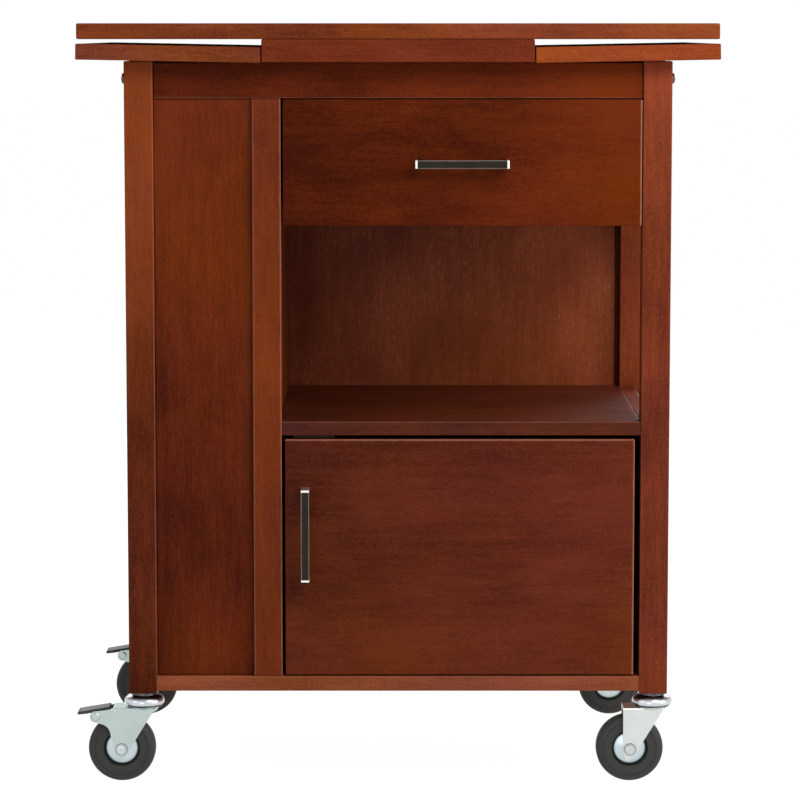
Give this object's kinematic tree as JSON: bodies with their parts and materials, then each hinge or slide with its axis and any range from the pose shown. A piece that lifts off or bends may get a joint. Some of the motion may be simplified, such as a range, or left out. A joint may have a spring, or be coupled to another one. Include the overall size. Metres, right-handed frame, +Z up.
{
  "type": "microwave cart",
  "caption": "Wheeled kitchen cart in stained wood with draw leaves under a flat top, a drawer, an open microwave bay, a cupboard and a side rack.",
  "frame": {"origin": "on the floor under the middle of the case", "axes": "+Z up; the drawer and the door face -Y; +X to the right as seen from the front"},
  "size_m": [0.7202, 0.46, 0.858],
  "materials": {
    "frame_wood": "satin reddish-brown stain",
    "top_wood": "satin reddish-brown stain",
    "shelf_wood": "satin reddish-brown stain",
    "front_wood": "satin reddish-brown stain, grain across",
    "rail_wood": "satin reddish-brown stain",
    "drawer_box_wood": "clear matt lacquer on a pale wood",
    "bronzed_steel": "dark bronzed",
    "brushed_nickel": "brushed",
    "slide_steel": "black coated",
    "hinge_steel": "dark bronzed",
    "zinc_steel": "zinc plated",
    "dome_chrome": "bright",
    "fork_steel": "bright zinc plated",
    "hub_steel": "bright zinc plated",
    "castor_tyre": "matt dark grey",
    "pedal_plastic": "matt dark grey",
    "catch_plastic": "matt brown"
  },
  "bodies": {
    "case": {"back_battens": "frame_wood", "back_panel": "frame_wood", "bottom_board": "shelf_wood", "case_drawer_runners": "slide_steel", "castor_sockets": "zinc_steel", "centre_board": "top_wood", "door_catch": "catch_plastic", "frame_bolts": "bronzed_steel", "front_left_castor_stem": "dome_chrome", "front_left_leg": "frame_wood", "front_right_castor_stem": "dome_chrome", "front_right_leg": "frame_wood", "front_stile": "frame_wood", "front_top_rail": "frame_wood", "hinge_arms": "hinge_steel", "left_front_panel": "frame_wood", "left_top_rail": "frame_wood", "middle_shelf": "shelf_wood", "partition": "frame_wood", "rack_rails": "rail_wood", "rack_shelves": "shelf_wood", "rear_left_castor_stem": "dome_chrome", "rear_left_leg": "frame_wood", "rear_right_castor_stem": "dome_chrome", "rear_right_leg": "frame_wood", "rear_top_rail": "frame_wood", "right_lower_panel": "frame_wood", "right_upper_panel": "frame_wood", "runner_bearer": "frame_wood"},
    "top": {"top_board": "top_wood", "top_dowels": "rail_wood"},
    "left_leaf": {"left_leaf": "top_wood", "left_leaf_runners": "rail_wood"},
    "right_leaf": {"right_leaf": "top_wood", "right_leaf_runners": "rail_wood"},
    "drawer": {"drawer_back": "drawer_box_wood", "drawer_bottom": "drawer_box_wood", "drawer_front": "front_wood", "drawer_left_side": "drawer_box_wood", "drawer_pull": "brushed_nickel", "drawer_right_side": "drawer_box_wood", "drawer_slides": "slide_steel"},
    "door": {"door_panel": "front_wood", "door_pull": "brushed_nickel", "door_strike": "hinge_steel", "hinge_cups": "hinge_steel"},
    "front_left_swivel": {"front_left_castor_fork": "fork_steel"},
    "front_left_wheel": {"front_left_castor_hub": "hub_steel", "front_left_castor_tyre": "castor_tyre"},
    "front_left_pedal": {"front_left_brake_pedal": "pedal_plastic"},
    "front_right_swivel": {"front_right_castor_fork": "fork_steel"},
    "front_right_wheel": {"front_right_castor_hub": "hub_steel", "front_right_castor_tyre": "castor_tyre"},
    "rear_left_swivel": {"rear_left_castor_fork": "fork_steel"},
    "rear_left_wheel": {"rear_left_castor_hub": "hub_steel", "rear_left_castor_tyre": "castor_tyre"},
    "rear_left_pedal": {"rear_left_brake_pedal": "pedal_plastic"},
    "rear_right_swivel": {"rear_right_castor_fork": "fork_steel"},
    "rear_right_wheel": {"rear_right_castor_hub": "hub_steel", "rear_right_castor_tyre": "castor_tyre"}
  },
  "joints": [
    {"name": "top_lift", "type": "slide", "parent": "case", "child": "top", "axis": [0, 0, 1], "range_m": [0, 0.025]},
    {"name": "left_leaf_draw", "type": "slide", "parent": "case", "child": "left_leaf", "axis": [-0.9998, 0, 0.0183], "range_m": [0, 0.205]},
    {"name": "right_leaf_draw", "type": "slide", "parent": "case", "child": "right_leaf", "axis": [0.9998, 0, 0.0183], "range_m": [0, 0.205]},
    {"name": "drawer_slide", "type": "slide", "parent": "case", "child": "drawer", "axis": [0, -1, 0], "range_m": [0, 0.25]},
    {"name": "door_hinge", "type": "hinge", "parent": "case", "child": "door", "pos_m": [0.27, -0.2, 0.2586], "axis": [0, 0, 1], "range_deg": [0, 105]},
    {"name": "front_left_castor_swivel", "type": "hinge", "parent": "case", "child": "front_left_swivel", "pos_m": [-0.289, -0.184, 0.0855], "axis": [0, 0, 1], "continuous": true},
    {"name": "front_left_wheel_spin", "type": "hinge", "parent": "front_left_swivel", "child": "front_left_wheel", "pos_m": [-0.3145, -0.184, 0.0381], "axis": [0, 1, 0], "continuous": true},
    {"name": "front_left_brake_pedal_tilt", "type": "hinge", "parent": "front_left_swivel", "child": "front_left_pedal", "pos_m": [-0.3436, -0.184, 0.0755], "axis": [0, 1, 0], "range_deg": [0, 14]},
    {"name": "front_right_castor_swivel", "type": "hinge", "parent": "case", "child": "front_right_swivel", "pos_m": [0.289, -0.184, 0.0855], "axis": [0, 0, 1], "continuous": true},
    {"name": "front_right_wheel_spin", "type": "hinge", "parent": "front_right_swivel", "child": "front_right_wheel", "pos_m": [0.2635, -0.184, 0.0381], "axis": [0, 1, 0], "continuous": true},
    {"name": "rear_left_castor_swivel", "type": "hinge", "parent": "case", "child": "rear_left_swivel", "pos_m": [-0.289, 0.184, 0.0855], "axis": [0, 0, 1], "continuous": true},
    {"name": "rear_left_wheel_spin", "type": "hinge", "parent": "rear_left_swivel", "child": "rear_left_wheel", "pos_m": [-0.3145, 0.184, 0.0381], "axis": [0, 1, 0], "continuous": true},
    {"name": "rear_left_brake_pedal_tilt", "type": "hinge", "parent": "rear_left_swivel", "child": "rear_left_pedal", "pos_m": [-0.3436, 0.184, 0.0755], "axis": [0, 1, 0], "range_deg": [0, 14]},
    {"name": "rear_right_castor_swivel", "type": "hinge", "parent": "case", "child": "rear_right_swivel", "pos_m": [0.289, 0.184, 0.0855], "axis": [0, 0, 1], "continuous": true},
    {"name": "rear_right_wheel_spin", "type": "hinge", "parent": "rear_right_swivel", "child": "rear_right_wheel", "pos_m": [0.2635, 0.184, 0.0381], "axis": [0, 1, 0], "continuous": true}
  ]
}
